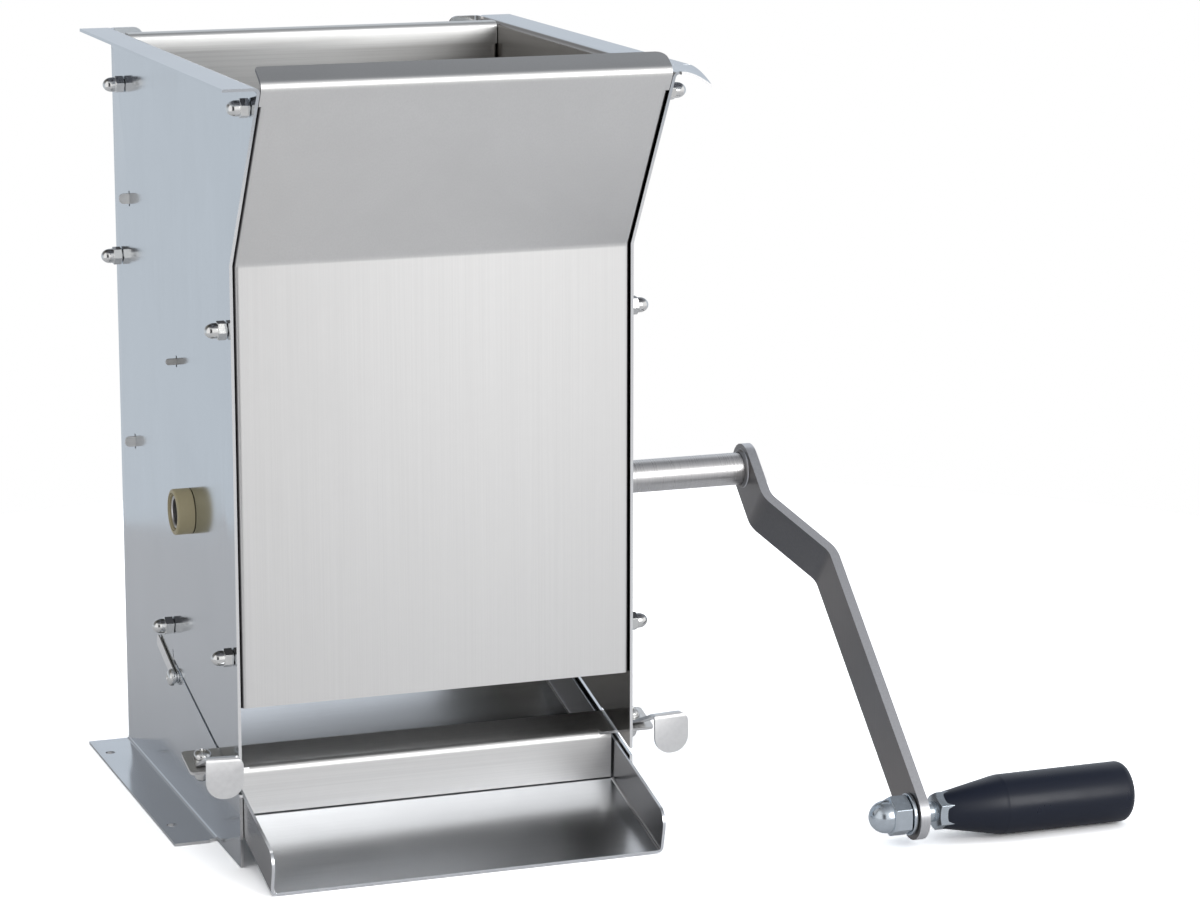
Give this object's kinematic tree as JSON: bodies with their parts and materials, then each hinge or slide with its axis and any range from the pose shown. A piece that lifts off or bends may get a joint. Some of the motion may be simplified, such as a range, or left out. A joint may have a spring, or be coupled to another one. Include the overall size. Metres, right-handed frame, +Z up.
{
  "type": "hand cranked apple scratter",
  "caption": "Free-standing stainless fruit mill: open hopper, toothed drum on a hand crank, sloping chute with a sliding rake below.",
  "frame": {"origin": "on the table, in the middle of the rectangle that the whole machine covers, crank at rest", "axes": "+X to the crank's side along the front panel, +Y from the chute's front to the back, +Z up"},
  "size_m": [0.4612, 0.3316, 0.3945],
  "materials": {
    "side_sheet": "smooth cold-rolled stainless sheet, nearly mirror-like",
    "panel_sheet": "fine-brushed stainless sheet, satin",
    "drum_steel": "plain stainless, satin",
    "satin_bar": "brushed bar stock",
    "bright_plated": "bright fasteners",
    "natural_nylon": "smooth natural nylon",
    "black_plastic": "smooth blue-black plastic, semi-gloss"
  },
  "bodies": {
    "housing": {"left_wall": "side_sheet", "right_wall": "side_sheet", "front_panel": "panel_sheet", "back_panel": "panel_sheet", "guide_plate": "panel_sheet", "breaker_plate": "panel_sheet", "rear_deflector": "panel_sheet", "chute": "panel_sheet", "left_bush": "natural_nylon", "left_chute_screw": "bright_plated", "left_catch_leaf": "bright_plated", "right_bush": "natural_nylon", "right_chute_screw": "bright_plated", "right_catch_leaf": "bright_plated", "left_top_front_bolt": "bright_plated", "left_top_front_nut": "bright_plated", "left_front_bolt": "bright_plated", "left_front_nut": "bright_plated", "left_low_front_bolt": "bright_plated", "left_low_front_nut": "bright_plated", "left_top_rear_bolt": "bright_plated", "left_top_rear_nut": "bright_plated", "left_mid_rear_bolt": "bright_plated", "left_mid_rear_nut": "bright_plated", "left_low_rear_bolt": "bright_plated", "left_low_rear_nut": "bright_plated", "right_top_front_bolt": "bright_plated", "right_top_front_nut": "bright_plated", "right_front_bolt": "bright_plated", "right_front_nut": "bright_plated", "right_low_front_bolt": "bright_plated", "right_low_front_nut": "bright_plated", "right_top_rear_bolt": "bright_plated", "right_top_rear_nut": "bright_plated", "right_mid_rear_bolt": "bright_plated", "right_mid_rear_nut": "bright_plated", "right_low_rear_bolt": "bright_plated", "right_low_rear_nut": "bright_plated"},
    "crank": {"shaft": "satin_bar", "drum_shell": "drum_steel", "left_drum_disc": "drum_steel", "right_drum_disc": "drum_steel", "drum_blade_1": "drum_steel", "drum_blade_2": "drum_steel", "drum_blade_3": "drum_steel", "drum_blade_4": "drum_steel", "drum_blade_5": "drum_steel", "drum_blade_6": "drum_steel", "crank_arm": "satin_bar", "handle_spindle": "bright_plated", "handle_washer": "bright_plated", "handle_nut": "bright_plated"},
    "grip": {"handle_grip": "black_plastic"},
    "rake_slider": {"rake": "panel_sheet", "left_lever_screw": "bright_plated", "left_lever_nut": "bright_plated", "right_lever_screw": "bright_plated", "right_lever_nut": "bright_plated"},
    "left_lever": {"left_thumb_lever": "bright_plated"},
    "right_lever": {"right_thumb_lever": "bright_plated"}
  },
  "joints": [
    {"name": "crank_turn", "type": "hinge", "parent": "housing", "child": "crank", "pos_m": [-0.1071, 0.01277, 0.1595], "axis": [1, 0, 0], "continuous": true},
    {"name": "grip_turn", "type": "hinge", "parent": "crank", "child": "grip", "pos_m": [0.1729, -0.1505, 0.0158], "axis": [1, 0, 0], "continuous": true},
    {"name": "rake_slide", "type": "slide", "parent": "housing", "child": "rake_slider", "axis": [0, 0.9681, 0.2504], "range_m": [-0.015, 0.078]},
    {"name": "left_lever_swing", "type": "hinge", "parent": "rake_slider", "child": "left_lever", "pos_m": [-0.2191, -0.04344, 0.04666], "axis": [0, -0.2504, 0.9681], "range_deg": [-80, 0]},
    {"name": "right_lever_swing", "type": "hinge", "parent": "rake_slider", "child": "right_lever", "pos_m": [0.0049, -0.04344, 0.04666], "axis": [0, -0.2504, 0.9681], "range_deg": [-7, 80]}
  ]
}
